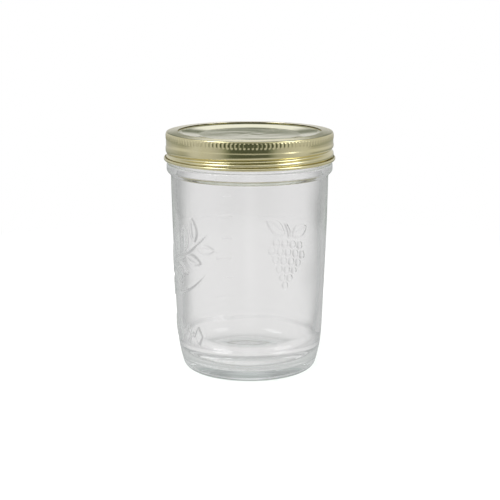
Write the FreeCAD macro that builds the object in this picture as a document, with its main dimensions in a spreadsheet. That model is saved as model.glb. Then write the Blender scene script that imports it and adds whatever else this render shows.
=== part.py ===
"""Wide-mouth pint canning jar with its two-piece closure, as four separate pieces.

glass_jar     pressed glass jar with an 86 mm continuous thread, carrying bead and raised decoration
lid_disc      stamped tinplate disc that closes the mouth
sealing_ring  soft compound moulded into the disc's rim channel
screw_band    rolled tinplate band that screws down over the disc

Frame: origin at the centre of the base, +Z up the jar's axis, -Y towards the emblem. Millimetres.
"""

import FreeCAD
import Part
import Sketcher

import math
import os

Vector = FreeCAD.Vector
UP = Vector(0, 0, 1)
OUT_FOLDER = "parts"

# ---------------------------------------------------------------- driving dimensions

SIZES = [
    ("rim_height", 124.2, "glass rim above the base"),
    ("mouth_radius", 38.2, "inside of the mouth"),
    ("rim_round", 1.3, "rounding of both rim edges"),
    ("neck_radius", 41.3, "neck wall between the thread ridges"),
    ("thread_radius", 42.7, "crest of the glass thread (86 mm finish)"),
    ("thread_pitch", 5.08, "rise in one turn, five turns to the inch"),
    ("neck_zone_low", 110.6, "lower end of the threaded neck"),
    ("neck_zone_high", 122.0, "upper end of the threaded neck"),
    ("bead_radius", 43.05, "carrying bead below the band"),
    ("bead_top", 109.0, "top of the carrying bead"),
    ("bead_shoulder", 0.9, "rounding of the bead's top edge"),
    ("bead_flare", 2.2, "rounding of the bead's lower side"),
    ("bead_cove", 1.0, "hollow where the bead meets the body"),
    ("neck_cove", 0.5, "hollow where the neck meets the bead"),
    ("body_top_radius", 40.9, "body just under the bead"),
    ("body_top", 102.6, "height of the body's top"),
    ("side_arc", 2600.0, "radius of the body's slight barrel"),
    ("foot_radius", 38.2, "body where the heel begins"),
    ("foot_height", 20.7, "height where the heel begins"),
    ("foot_arc", 72.15, "radius of the upper heel"),
    ("heel_round", 4.6, "radius of the heel's corner"),
    ("bearing_outer", 30.7, "outside of the flat ring the jar stands on"),
    ("bearing_inner", 28.9, "inside of the flat ring the jar stands on"),
    ("base_step", 0.9, "height of the step inside the bearing ring"),
    ("base_step_radius", 27.1, "radius where the domed base begins"),
    ("base_dome", 2.4, "height of the domed base at its centre"),
    ("step_arc", 2.2, "radius of the two bends of the base step"),
    ("wall_top", 2.75, "wall thickness under the bead"),
    ("wall_foot", 3.1, "wall thickness at the heel"),
    ("inner_heel_round", 8.0, "inside corner between wall and floor"),
    ("floor_height", 5.6, "inside floor at its edge"),
    ("floor_crown", 6.1, "inside floor at its centre"),
    ("relief", 0.45, "how far the decoration stands out of the body"),
    ("relief_root", 0.6, "how far the decoration is buried in the wall"),
    ("sheet", 0.25, "thickness of the tinplate"),
    ("band_top", 125.3, "top of the band's flange"),
    ("band_opening", 37.2, "radius of the band's opening"),
    ("band_radius", 43.3, "outside of the band's plain wall"),
    ("band_corner", 0.65, "rounding between flange and wall"),
    ("band_zone_high", 120.0, "upper end of the rolled thread zone"),
    ("band_zone_low", 112.4, "lower end of the rolled thread zone"),
    ("hem_bottom", 110.6, "lowest point of the band's rolled hem"),
    ("hem_bend", 0.45, "inner radius of the hem's lower bend"),
    ("hem_lip_bend", 0.35, "inner radius of the hem's upper bend"),
    ("hem_top", 112.3, "top of the rolled hem"),
    ("groove_depth", 1.4, "depth of the rolled thread groove"),
    ("groove_width", 1.0, "half width of the rolled thread groove"),
    ("belly", 0.25, "how far the thread zone stands out of the plain wall"),
    ("groove_datum", 110.25, "height of the groove's helix at +X, turn zero"),
    ("ridge_lift", 1.6, "glass ridge above the band's groove when tight"),
    ("ridge_root", 1.25, "half width of the glass ridge at the neck"),
    ("ridge_crest", 0.4, "half width of the glass ridge at its crest"),
    ("knurl_low", 121.6, "lower end of the grip ribs"),
    ("knurl_height", 2.7, "length of a grip rib"),
    ("knurl_depth", 0.16, "how far a grip rib stands out"),
    ("knurl_width", 0.95, "width of a grip rib at the wall"),
    ("knurl_crest", 0.3, "width of a grip rib at its crest"),
    ("seat_gap", 0.02, "clearance between flange and lid disc"),
    ("lid_radius", 42.4, "outside of the lid disc"),
    ("lid_corner", 0.8, "rounding of the disc's shoulder"),
    ("lid_skirt", 2.2, "height of the disc's skirt"),
    ("channel_inner", 35.6, "inside of the disc's raised seating ring"),
    ("panel_step", 0.5, "radius of the two bends inside the seating ring"),
    ("panel_radius", 26.0, "edge of the level panel"),
    ("panel_turn", 5.0, "bend radius between the panel and its sloping border"),
    ("seal_inner", 36.9, "inside of the sealing compound"),
    ("seal_lip", 0.35, "how far the compound laps over the rim's edges"),
]
KNURL_COUNT = 132

PANEL_STEP_ANGLE = 50
BORDER_ANGLE = 5.5
HEEL_ANGLE = 17
BEAD_SLOPE = 45
BASE_STEP_ANGLE = 40

# Helix angles, in degrees from +X, of the rolled groove and of the glass ridge, with their run-outs.
GROOVE_START, GROOVE_END, GROOVE_FADE = 170, 660, 150
RIDGE_START, RIDGE_END, RIDGE_FADE = 40, 560, 35
GRID_STEP_DEGREES = 5
GRID_STEP_Z = 0.16
JOIN_TOLERANCE = 0.001

doc = FreeCAD.newDocument("canning_jar")


def make_sheet():
    """The spreadsheet of driving dimensions: note in column A, number in column B."""
    cells = doc.addObject("Spreadsheet::Sheet", "sizes")
    for row, (alias, value, note) in enumerate(SIZES, start=1):
        cells.set(f"A{row}", note)
        cells.set(f"B{row}", str(value))
        cells.setAlias(f"B{row}", alias)
    doc.recompute()
    return cells


class Dim:
    """A length in mm together with the spreadsheet formula that gives it."""

    def __init__(self, value, text):
        self.value = float(value)
        self.text = text

    def _join(self, other, sign):
        other = other if isinstance(other, Dim) else Dim(other, repr(float(other)))
        value = self.value + other.value if sign == "+" else self.value - other.value
        return Dim(value, f"({self.text} {sign} {other.text})")

    def __add__(self, other):
        return self._join(other, "+")

    def __sub__(self, other):
        return self._join(other, "-")

    def __mul__(self, factor):
        return Dim(self.value * factor, f"{self.text} * {round(factor, 9)!r}")


sheet = make_sheet()
D = {alias: Dim(getattr(sheet, alias), f"{sheet.Name}.{alias}") for alias, _, _ in SIZES}
ZERO = Dim(0, "0")


def sine(degrees):
    return math.sin(math.radians(degrees))


def cosine(degrees):
    return math.cos(math.radians(degrees))


def size(alias):
    return D[alias].value


# ---------------------------------------------------------------- sketched outlines


class Outline:
    """A closed half-section in the XZ plane, drawn corner by corner from a first corner."""

    def __init__(self, x, z):
        self.corners = [(x, z)]
        self.bends = []

    def line(self, x, z):
        self.bends.append(None)
        self.corners.append((x, z))
        return self

    def left(self, radius, x, z):
        """An arc that turns left on its way to the next corner."""
        self.bends.append((radius, 1))
        self.corners.append((x, z))
        return self

    def right(self, radius, x, z):
        """An arc that turns right on its way to the next corner."""
        self.bends.append((radius, -1))
        self.corners.append((x, z))
        return self

    def dome(self, x, z, turn):
        """An arc centred on the axis, so the surface it sweeps has no point at its crown."""
        start_x, start_z = self.corners[-1]
        reach = max(start_x.value, x.value)
        rise = abs(z.value - start_z.value)
        self.bends.append((Dim((reach**2 + rise**2) / (2 * rise), ""), turn))
        self.corners.append((x, z))
        return self

    def close(self):
        self.bends.append(None)
        return self


def arc_between(start, end, radius, turn):
    """The short arc from start to end, with its centre left (turn 1) or right (turn -1) of travel."""
    chord = end - start
    middle = (start + end) * 0.5
    side = Vector(-chord.y, chord.x, 0).normalize() * turn
    height = math.sqrt(max(radius**2 - (chord.Length / 2) ** 2, 0.0))
    centre = middle + side * height
    first, last = (start, end) if turn > 0 else (end, start)
    angles = [math.atan2(p.y - centre.y, p.x - centre.x) for p in (first, last)]
    return Part.ArcOfCircle(Part.Circle(centre, UP, radius), *angles)


def plane_of(body, role):
    return next(o for o in body.Origin.OriginFeatures if o.Role == role)


def new_body(name):
    return doc.addObject("PartDesign::Body", name)


def new_sketch(body, name, role):
    sketch = body.newObject("Sketcher::SketchObject", name)
    sketch.AttachmentSupport = [(plane_of(body, role), "")]
    sketch.MapMode = "FlatFace"
    return sketch


def bind_point(sketch, geometry, point, x, y):
    """Fixes one end of a sketch element at (x, y), each bound to its spreadsheet formula."""
    if x.value == 0:
        sketch.addConstraint(Sketcher.Constraint("PointOnObject", geometry, point, -2))
    else:
        made = sketch.addConstraint(Sketcher.Constraint("DistanceX", -1, 1, geometry, point, x.value))
        sketch.setExpression(f"Constraints[{made}]", x.text)
    if y.value == 0:
        sketch.addConstraint(Sketcher.Constraint("PointOnObject", geometry, point, -1))
    else:
        made = sketch.addConstraint(Sketcher.Constraint("DistanceY", -1, 1, geometry, point, y.value))
        sketch.setExpression(f"Constraints[{made}]", y.text)


def draw(sketch, outline):
    """Draws an outline in a sketch and binds every corner and radius to the spreadsheet."""
    points = [Vector(x.value, z.value, 0) for x, z in outline.corners]
    ends = []
    for i, bend in enumerate(outline.bends):
        start, end = points[i], points[(i + 1) % len(points)]
        if bend is None:
            made = sketch.addGeometry(Part.LineSegment(start, end))
            ends.append((made, 1, 2))
        else:
            radius, turn = bend
            made = sketch.addGeometry(arc_between(start, end, radius.value, turn))
            ends.append((made, 1, 2) if turn > 0 else (made, 2, 1))
    for i, (made, _, tail) in enumerate(ends):
        following, head, _ = ends[(i + 1) % len(ends)]
        sketch.addConstraint(Sketcher.Constraint("Coincident", made, tail, following, head))
    for (made, head, _), (x, z) in zip(ends, outline.corners):
        bind_point(sketch, made, head, x, z)
    for (made, _, _), bend in zip(ends, outline.bends):
        if bend is None:
            continue
        if bend[0].text:
            fixed = sketch.addConstraint(Sketcher.Constraint("Radius", made, bend[0].value))
            sketch.setExpression(f"Constraints[{fixed}]", bend[0].text)
        else:
            sketch.addConstraint(Sketcher.Constraint("PointOnObject", made, 3, -2))


def revolve(body, name, outline):
    """A full turn of an outline about the jar's axis, with its faces left as drawn."""
    sketch = new_sketch(body, name + "_section", "XZ_Plane")
    draw(sketch, outline)
    turned = body.newObject("PartDesign::Revolution", name + "_revolution")
    turned.Profile = sketch
    turned.ReferenceAxis = (sketch, ["V_Axis"])
    turned.Angle = 360
    turned.Refine = False
    sketch.Visibility = False
    doc.recompute()
    return turned


class SheetPath:
    """The visible face of a folded sheet, walked with a heading in degrees; the metal lies to its right."""

    def __init__(self, x, z, heading):
        self.steps = [(x, z, heading, None)]

    def line(self, x, z):
        self.steps.append((x, z, self.steps[-1][2], None))
        return self

    def bend(self, radius, heading):
        """Turns along an arc to a new heading."""
        x, z, old, _ = self.steps[-1]
        turn = 1 if heading > old else -1
        x = x + radius * (turn * (sine(heading) - sine(old)))
        z = z + radius * (turn * (cosine(old) - cosine(heading)))
        self.steps.append((x, z, heading, (radius, turn)))
        return self

    def outline(self, thickness):
        """The closed section: out along the visible face, back along the hidden one."""
        x, z, _, _ = self.steps[0]
        section = Outline(x, z)
        for x, z, _, bend in self.steps[1:]:
            self._step(section, x, z, bend)
        hidden = []
        for x, z, heading, bend in self.steps:
            across, down = thickness * sine(heading), thickness * cosine(heading)
            hidden.append((x + across, z - down, bend))
        back = list(reversed(hidden))
        section.line(back[0][0], back[0][1])
        for (_, _, bend), (x, z, _) in zip(back, back[1:]):
            if bend is not None:
                radius, turn = bend
                bend = (radius + thickness if turn > 0 else radius - thickness, -turn)
            self._step(section, x, z, bend)
        return section.close()

    @staticmethod
    def _step(section, x, z, bend):
        if bend is None:
            section.line(x, z)
        elif bend[1] > 0:
            section.left(bend[0], x, z)
        else:
            section.right(bend[0], x, z)


# ---------------------------------------------------------------- helical skins


def smooth(value):
    """0 below 0, 1 above 1, with a smooth rise between."""
    value = min(max(value, 0.0), 1.0)
    return value * value * (3 - 2 * value)


def run(turned, start, end, fade):
    """1 between two helix angles, fading to 0 at both."""
    return smooth((turned - start) / fade) * smooth((end - turned) / fade)


def groove_radius(degrees, z):
    """Outer radius of the band's wall: a slight belly with a groove rolled in on a helix."""
    low, high = size("band_zone_low"), size("band_zone_high")
    edge = smooth((z - low) / 1.2) * smooth((high - z) / 1.7)
    change = size("belly")
    for turn in range(-1, 3):
        turned = degrees + 360 * turn
        height = z - size("groove_datum") - size("thread_pitch") * turned / 360
        strength = run(turned, GROOVE_START, GROOVE_END, GROOVE_FADE)
        change -= strength * size("groove_depth") * math.exp(-((height / size("groove_width")) ** 2))
    return size("band_radius") + edge * change


def ridge_radius(degrees, z):
    """Outer radius of the glass neck: a rounded thread ridge on the same helix as the band's groove."""
    rise = size("thread_radius") - size("neck_radius")
    datum = size("groove_datum") + size("ridge_lift")
    slope = size("ridge_root") - size("ridge_crest")
    radius = size("neck_radius")
    for turn in range(-1, 3):
        turned = degrees + 360 * turn
        height = z - datum - size("thread_pitch") * turned / 360
        strength = run(turned, RIDGE_START, RIDGE_END, RIDGE_FADE)
        radius += strength * rise * smooth((size("ridge_root") - abs(height)) / slope)
    return radius


def skin_face(radius_at, low, high, inward=0.0):
    """The closed surface radius_at(degrees, z) between two heights, or the surface inward of it."""
    rows = max(8, round((high - low) / GRID_STEP_Z))
    columns = 360 // GRID_STEP_DEGREES
    levels = [low + (high - low) * i / rows for i in range(rows + 1)]
    outset = 3 / (2 + cosine(GRID_STEP_DEGREES))
    nudge = 1e-4

    def pole(degrees, z):
        radius = radius_at(degrees, z)
        if inward:
            lean = (radius_at(degrees, z + nudge) - radius_at(degrees, z - nudge)) / (2 * nudge)
            lean = 0.0 if z in (low, high) else lean
            length = math.hypot(1, lean)
            radius, z = radius - inward / length, z + inward * lean / length
        return Vector(outset * radius * cosine(degrees), outset * radius * sine(degrees), z)

    angles = [GRID_STEP_DEGREES * (i - 1) % 360 for i in range(columns)]
    poles = [[pole(angle, z) for z in levels] for angle in angles]
    around = [float(i) for i in range(columns + 1)]
    upward = [float(i) for i in range(rows - 1)]
    repeats_around = [1] * len(around)
    repeats_upward = [4] + [1] * (len(upward) - 2) + [4]
    surface = Part.BSplineSurface()
    surface.buildFromPolesMultsKnots(
        poles, repeats_around, repeats_upward, around, upward, True, False, 3, 3
    )
    return surface.toShape()


def is_wall(face, radius, low, high):
    """True for the plain cylindrical face of that radius between two heights."""
    surface = face.Surface
    if not isinstance(surface, Part.Cylinder) or abs(surface.Radius - radius) > 1e-4:
        return False
    box = face.BoundBox
    return abs(box.ZMin - low) < 1e-3 and abs(box.ZMax - high) < 1e-3


def reskin(name, blank, skins, low, high):
    """The blank's solid with plain walls swapped for helical ones. skins: (radius, face) pairs."""
    kept = [f for f in blank.Shape.Faces if not any(is_wall(f, r, low, high) for r, _ in skins)]
    if len(kept) != len(blank.Shape.Faces) - len(skins):
        raise RuntimeError(f"{name}: the plain walls weren't found")
    joined, _ = Part.makeCompound(kept).generalFuse([face for _, face in skins], JOIN_TOLERANCE)
    solid = Part.Solid(Part.makeShell(joined.Faces))
    solid.fix(JOIN_TOLERANCE / 10, JOIN_TOLERANCE / 10, JOIN_TOLERANCE / 10)
    if not solid.isValid() or solid.Volume < 0:
        raise RuntimeError(f"{name}: the joined skin doesn't close a solid")
    made = doc.addObject("Part::Feature", name)
    made.Shape = solid
    made.Placement = FreeCAD.Placement()
    return made


# ---------------------------------------------------------------- glass jar


def jar_outline():
    """Half-section of the glass, from the base's centre out, up, over the rim and down the inside."""
    heel_x = D["bearing_outer"] + D["heel_round"] * cosine(HEEL_ANGLE)
    heel_z = D["heel_round"] * (1 - sine(HEEL_ANGLE))
    slope_sine, slope_cosine = sine(BEAD_SLOPE), cosine(BEAD_SLOPE)
    cove_x = D["body_top_radius"] + D["bead_cove"] * (1 - slope_sine)
    cove_z = D["body_top"] + D["bead_cove"] * slope_cosine
    flare_x = D["bead_radius"] - D["bead_flare"] * (1 - slope_sine)
    flare_z = cove_z + (flare_x - cove_x)
    widest_z = flare_z + D["bead_flare"] * slope_cosine
    step_x = (D["bearing_inner"] + D["base_step_radius"]) * 0.5
    floor_x = D["foot_radius"] - D["wall_foot"] - D["inner_heel_round"]
    inner_top = D["body_top_radius"] - D["wall_top"]
    inner_foot = D["foot_radius"] - D["wall_foot"]
    section = Outline(ZERO, D["base_dome"])
    section.dome(D["base_step_radius"], D["base_step"], -1)
    section.right(D["step_arc"], step_x, D["base_step"] * 0.5)
    section.left(D["step_arc"], D["bearing_inner"], ZERO)
    section.line(D["bearing_outer"], ZERO)
    section.left(D["heel_round"], heel_x, heel_z)
    section.left(D["foot_arc"], D["foot_radius"], D["foot_height"])
    section.left(D["side_arc"], D["body_top_radius"], D["body_top"])
    section.right(D["bead_cove"], cove_x, cove_z)
    section.line(flare_x, flare_z)
    section.left(D["bead_flare"], D["bead_radius"], widest_z)
    section.line(D["bead_radius"], D["bead_top"] - D["bead_shoulder"])
    section.left(D["bead_shoulder"], D["bead_radius"] - D["bead_shoulder"], D["bead_top"])
    section.line(D["neck_radius"] + D["neck_cove"], D["bead_top"])
    section.right(D["neck_cove"], D["neck_radius"], D["bead_top"] + D["neck_cove"])
    section.line(D["neck_radius"], D["neck_zone_low"])
    section.line(D["neck_radius"], D["neck_zone_high"])
    section.line(D["neck_radius"], D["rim_height"] - D["rim_round"])
    section.left(D["rim_round"], D["neck_radius"] - D["rim_round"], D["rim_height"])
    section.line(D["mouth_radius"] + D["rim_round"], D["rim_height"])
    section.left(D["rim_round"], D["mouth_radius"], D["rim_height"] - D["rim_round"])
    section.line(D["mouth_radius"], D["bead_top"])
    section.line(inner_top, D["body_top"])
    section.right(D["side_arc"], inner_foot, D["foot_height"] - D["heel_round"] * 0.5)
    section.right(D["inner_heel_round"] * 1.02, floor_x + D["inner_heel_round"] * 0.12, D["floor_height"])
    section.dome(ZERO, D["floor_crown"], 1)
    return section.close()


def make_jar_blank():
    body = new_body("jar_blank")
    revolve(body, "jar", jar_outline())
    return body


# The decoration is laid out on the unrolled body: u is arc length from -Y, counter-clockwise seen
# from above, and z is height.
WRAP_RADIUS = 40.2


class Motif:
    """Flat shapes on a plane that faces one side of the jar, pushed through its wall as prisms."""

    def __init__(self, facing):
        self.facing = facing
        self.prisms = []

    def at(self, u, z):
        """The point over arc length u and height z, seen square on to the motif's middle."""
        return Vector(WRAP_RADIUS * math.sin(u / WRAP_RADIUS), 0, z)

    def push(self, wire):
        prism = Part.Face(wire).extrude(Vector(0, -60, 0))
        prism.rotate(Vector(0, 0, 0), UP, self.facing)
        self.prisms.append(prism)

    def leaf(self, u, z, length, width, angle):
        """A pointed leaf whose stalk end is at (u, z)."""
        along = (cosine(angle), sine(angle))
        tip = self.at(u + length * along[0], z + length * along[1])
        base = self.at(u, z)
        sides = []
        for side in (1, -1):
            half = side * width / 2
            middle_u = u + 0.45 * length * along[0] - half * along[1]
            middle_z = z + 0.45 * length * along[1] + half * along[0]
            sides.append(Part.Arc(base, self.at(middle_u, middle_z), tip).toShape())
        self.push(Part.Wire(sides))

    def ribbon(self, points, width):
        """A stroke of that width through (u, z) points, tapering to blunt ends."""
        curve = Part.BSplineCurve()
        curve.interpolate([Vector(u, z, 0) for u, z in points])
        samples = 24
        rails = [[], []]
        for i in range(samples + 1):
            share = i / samples
            where = curve.FirstParameter + share * (curve.LastParameter - curve.FirstParameter)
            spot, along = curve.value(where), curve.tangent(where)[0]
            half = width / 2 * (0.35 + 0.65 * math.sin(math.pi * share) ** 0.5)
            for rail, side in zip(rails, (1, -1)):
                rail.append(self.at(spot.x - side * half * along.y, spot.y + side * half * along.x))
        edges = []
        for rail in rails:
            spline = Part.BSplineCurve()
            spline.interpolate(rail)
            edges.append(spline.toShape())
        caps = [Part.LineSegment(rails[0][k], rails[1][k]).toShape() for k in (0, -1)]
        self.push(Part.Wire([edges[0], caps[1], edges[1], caps[0]]))

    def dot(self, u, z, radius):
        circle = Part.Circle(self.at(u, z), Vector(0, -1, 0), radius)
        self.push(Part.Wire([circle.toShape()]))

    def bar(self, u, z, length, height):
        """A straight mark with square ends, starting at u and centred on z."""
        corners = [(u, z - height / 2), (u + length, z - height / 2)]
        corners += [(u + length, z + height / 2), (u, z + height / 2)]
        self.push(Part.makePolygon([self.at(*c) for c in corners + corners[:1]]))

    def diamond(self, u, z, width, height):
        corners = [(u - width / 2, z), (u, z - height / 2), (u + width / 2, z), (u, z + height / 2)]
        self.push(Part.makePolygon([self.at(*c) for c in corners + corners[:1]]))


def front_emblem():
    """A leafy sprig rising to the right over a flourish, and a row of diamonds and dots below."""
    motif = Motif(0)
    motif.ribbon([(-25, 46.3), (-14, 52.7), (-2, 60.1), (10, 66.1), (24, 77.0)], 1.5)
    sprig = [
        (-19, 49.7, 68, -42),
        (-10, 55.2, 72, -30),
        (-1, 60.6, 80, -22),
        (9, 65.6, 92, -12),
        (17, 71.0, 98, 0),
    ]
    for u, z, above, below in sprig:
        motif.leaf(u - 0.6, z + 1.4, 12.5, 5.2, above)
        motif.leaf(u + 0.8, z - 1.5, 11.0, 4.8, below)
    motif.ribbon([(-21, 37.9), (-9, 40.8), (4, 44.8), (14, 49.2), (22, 55.7)], 1.3)
    motif.dot(-23.4, 37.4, 1.5)
    for place in range(-2, 3):
        motif.diamond(8.6 * place, 23.0, 5.4, 10.0)
    for place in (-1.5, -0.5, 0.5, 1.5):
        motif.dot(8.6 * place, 23.0, 1.05)
    return motif


def back_emblem():
    """A bunch of round berries under two leaves."""
    motif = Motif(212)
    for row, count in enumerate((4, 5, 4, 3, 2, 1)):
        for place in range(count):
            motif.dot(5.6 * (place - (count - 1) / 2), 59.0 - 4.85 * row, 2.3)
    motif.ribbon([(0, 62.9), (0.6, 66.4), (2.6, 69.9)], 1.4)
    motif.leaf(-1.8, 63.9, 13.0, 7.0, 148)
    motif.leaf(3.0, 63.9, 13.0, 7.0, 30)
    return motif


def side_scale():
    """Level marks every 50 ml on the -X side, longer every 100 ml."""
    motif = Motif(-90)
    for step in range(1, 9):
        long_mark = step % 2 == 0
        motif.bar(-5.0, 5.6 + 11.2 * step, 9.0 if long_mark else 5.0, 0.9)
    return motif


def make_relief_skin():
    """The thin shell, just proud of the body's side, that the decoration is cut from."""
    outer, root = D["relief"], D["relief_root"]
    body = new_body("relief_skin")
    foot, top = D["foot_radius"], D["body_top_radius"]
    low, high = D["foot_height"] - D["heel_round"], D["body_top"]
    low_x = foot - D["base_step"]
    section = Outline(low_x - root, low)
    section.line(low_x + outer, low)
    section.left(D["foot_arc"], foot + outer, D["foot_height"])
    section.left(D["side_arc"], top + outer, high)
    section.line(top - root, high)
    section.right(D["side_arc"], foot - root, D["foot_height"])
    revolve(body, "relief_skin", section.close())
    return body


def make_glass_jar():
    blank = make_jar_blank()
    low, high = size("neck_zone_low"), size("neck_zone_high")
    skin = skin_face(ridge_radius, low, high)
    threaded = reskin("jar_threaded", blank, [(size("neck_radius"), skin)], low, high)
    prisms = doc.addObject("Part::Feature", "decoration_prisms")
    motifs = (front_emblem(), back_emblem(), side_scale())
    prisms.Shape = Part.makeCompound([p for motif in motifs for p in motif.prisms])
    decoration = doc.addObject("Part::Common", "decoration")
    decoration.Base = make_relief_skin()
    decoration.Tool = prisms
    jar = doc.addObject("Part::Fuse", "glass_jar")
    jar.Base = threaded
    jar.Tool = decoration
    jar.Label = "glass_jar"
    return jar


# ---------------------------------------------------------------- lid disc and sealing ring


def lid_top():
    return D["band_top"] - D["sheet"] - D["seat_gap"]


def make_lid_disc():
    """A stamped disc: level panel, sloping border, step up to a raised seating ring, and a short skirt."""
    step_run = D["panel_step"] * (2 * sine(PANEL_STEP_ANGLE) - sine(BORDER_ANGLE))
    step_rise = D["panel_step"] * (1 + cosine(BORDER_ANGLE) - 2 * cosine(PANEL_STEP_ANGLE))
    turn_run = D["panel_turn"] * sine(BORDER_ANGLE)
    turn_rise = D["panel_turn"] * (1 - cosine(BORDER_ANGLE))
    border_run = D["channel_inner"] - step_run - turn_run - D["panel_radius"]
    border_rise = border_run * (sine(BORDER_ANGLE) / cosine(BORDER_ANGLE))
    panel = lid_top() - step_rise - border_rise - turn_rise
    border_end = D["channel_inner"] - step_run
    path = SheetPath(ZERO, panel, 0)
    path.line(D["panel_radius"], panel)
    path.bend(D["panel_turn"], BORDER_ANGLE)
    path.line(border_end, panel + turn_rise + border_rise)
    path.bend(D["panel_step"], PANEL_STEP_ANGLE).bend(D["panel_step"], 0)
    path.line(D["lid_radius"] - D["lid_corner"], lid_top())
    path.bend(D["lid_corner"], -90)
    path.line(D["lid_radius"], lid_top() - D["lid_skirt"])
    body = new_body("lid_disc")
    revolve(body, "lid", path.outline(D["sheet"]))
    return body


def make_sealing_ring():
    """Compound that fills the disc's channel and laps a little over both edges of the rim."""
    top = lid_top() - D["sheet"]
    outside = D["lid_radius"] - D["sheet"]
    corner = D["lid_corner"] - D["sheet"]
    rim, lip = D["rim_height"], D["seal_lip"]
    crown_in = D["mouth_radius"] + D["rim_round"] * 0.55
    crown_out = D["neck_radius"] - D["rim_round"] * 0.45
    section = Outline(D["seal_inner"], top)
    section.line(D["seal_inner"], rim)
    section.line(D["seal_inner"] + lip, rim - lip)
    section.line(crown_in - lip, rim - lip)
    section.line(crown_in, rim)
    section.line(crown_out, rim)
    section.line(crown_out + lip, rim - lip)
    section.line(outside, rim - lip)
    section.line(outside, top - corner)
    section.left(corner, outside - corner, top)
    body = new_body("sealing_ring")
    revolve(body, "seal", section.close())
    return body


# ---------------------------------------------------------------- screw band


def make_band_blank():
    """The band before its thread is rolled: flange, wall and outward hem, with grip ribs."""
    bend = D["hem_bend"]
    hem_centre = D["hem_bottom"] + bend + D["sheet"]
    lip_start = D["hem_top"] - D["hem_lip_bend"] - D["sheet"]
    path = SheetPath(D["band_opening"], D["band_top"], 0)
    path.line(D["band_radius"] - D["band_corner"], D["band_top"])
    path.bend(D["band_corner"], -90)
    path.line(D["band_radius"], D["band_zone_high"])
    path.line(D["band_radius"], D["band_zone_low"])
    path.line(D["band_radius"], hem_centre)
    path.bend(bend, 0).bend(bend, 90)
    path.line(D["band_radius"] + bend * 2, lip_start)
    path.bend(D["hem_lip_bend"], 180)
    body = new_body("band_blank")
    revolve(body, "band", path.outline(D["sheet"]))
    return body


def add_knurl(body):
    """Short upright grip ribs all round the top of the wall."""
    sketch = new_sketch(body, "rib_section", "XY_Plane")
    sketch.AttachmentOffset = FreeCAD.Placement(Vector(0, 0, size("knurl_low")), FreeCAD.Rotation())
    sketch.setExpression("AttachmentOffset.Base.z", D["knurl_low"].text)
    root = D["band_radius"] - D["sheet"] * 0.8
    crest = D["band_radius"] + D["knurl_depth"]
    half_root, half_crest = D["knurl_width"] * 0.5, D["knurl_crest"] * 0.5
    section = Outline(root, half_root * -1)
    section.line(crest, half_crest * -1)
    section.line(crest, half_crest)
    section.line(root, half_root)
    draw(sketch, section.close())
    rib = body.newObject("PartDesign::Pad", "grip_rib")
    rib.Profile = sketch
    rib.Length = size("knurl_height")
    rib.setExpression("Length", D["knurl_height"].text)
    rib.Refine = False
    doc.recompute()
    ribs = body.newObject("PartDesign::PolarPattern", "grip_ribs")
    ribs.Originals = [rib]
    ribs.Axis = (plane_of(body, "Z_Axis"), [""])
    ribs.Angle = 360
    ribs.Occurrences = KNURL_COUNT
    ribs.Refine = False
    body.Tip = ribs
    doc.recompute()


def make_screw_band():
    blank = make_band_blank()
    add_knurl(blank)
    low, high = size("band_zone_low"), size("band_zone_high")
    outside, inside = size("band_radius"), size("band_radius") - size("sheet")
    skins = [
        (outside, skin_face(groove_radius, low, high)),
        (inside, skin_face(groove_radius, low, high, size("sheet"))),
    ]
    band = reskin("screw_band", blank, skins, low, high)
    band.Label = "screw_band"
    return band


# ---------------------------------------------------------------- build, check and write


def check_document():
    """Stops the build if any object of the document failed to compute."""
    failed = [o.Name for o in doc.Objects if {"Invalid", "Error"} & set(o.State)]
    if failed:
        raise RuntimeError(f"failed objects: {failed}")


def write_part(part):
    """Checks one piece's shape and writes its solids to parts/LABEL.step."""
    shape = part.Shape
    if shape.isNull() or not shape.isValid() or not shape.Solids:
        raise RuntimeError(f"{part.Label}: the shape is empty or not valid")
    shape.exportStep(os.path.join(OUT_FOLDER, part.Label + ".step"))
    volume = round(shape.Volume / 1000, 3)
    print(part.Label, len(shape.Solids), "solid,", len(shape.Faces), "faces,", volume, "cm3")


def main():
    pieces = [make_glass_jar(), make_lid_disc(), make_sealing_ring(), make_screw_band()]
    doc.recompute()
    check_document()
    os.makedirs(OUT_FOLDER, exist_ok=True)
    for piece in pieces:
        write_part(piece)


main()
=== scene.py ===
"""Looks of a wide-mouth canning jar: pressed glass, gold tinplate lid disc and screw band, sealing compound.

Every piece is built here as a fine mesh of the shape its CAD node has, with the surface detail that the
CAD leaves out. Lengths are in mm while a piece is shaped, and in metres from the mesh on.
"""

import math

import bpy
import numpy as np
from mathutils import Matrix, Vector


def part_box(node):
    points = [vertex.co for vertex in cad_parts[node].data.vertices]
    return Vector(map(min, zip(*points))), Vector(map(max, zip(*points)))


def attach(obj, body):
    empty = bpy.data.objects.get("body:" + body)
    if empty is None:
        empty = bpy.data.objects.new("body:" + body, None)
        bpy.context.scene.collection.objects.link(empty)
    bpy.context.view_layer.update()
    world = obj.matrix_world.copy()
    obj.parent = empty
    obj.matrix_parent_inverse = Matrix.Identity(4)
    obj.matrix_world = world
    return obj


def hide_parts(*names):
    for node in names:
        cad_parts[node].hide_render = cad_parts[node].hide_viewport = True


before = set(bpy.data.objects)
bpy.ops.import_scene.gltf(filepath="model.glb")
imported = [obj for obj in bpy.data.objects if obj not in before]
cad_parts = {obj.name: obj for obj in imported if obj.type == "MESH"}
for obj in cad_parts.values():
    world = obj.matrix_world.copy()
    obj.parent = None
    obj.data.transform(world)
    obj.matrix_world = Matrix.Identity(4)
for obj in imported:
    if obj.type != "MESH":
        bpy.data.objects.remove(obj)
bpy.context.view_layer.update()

MM = 0.001
rng = np.random.default_rng(7)

# ---------------------------------------------------------------- sizes, mm

BAND_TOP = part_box("screw_band")[1].z / MM
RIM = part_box("glass_jar")[1].z / MM
LID_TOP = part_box("lid_disc")[1].z / MM
SHEET = 0.25

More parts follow.
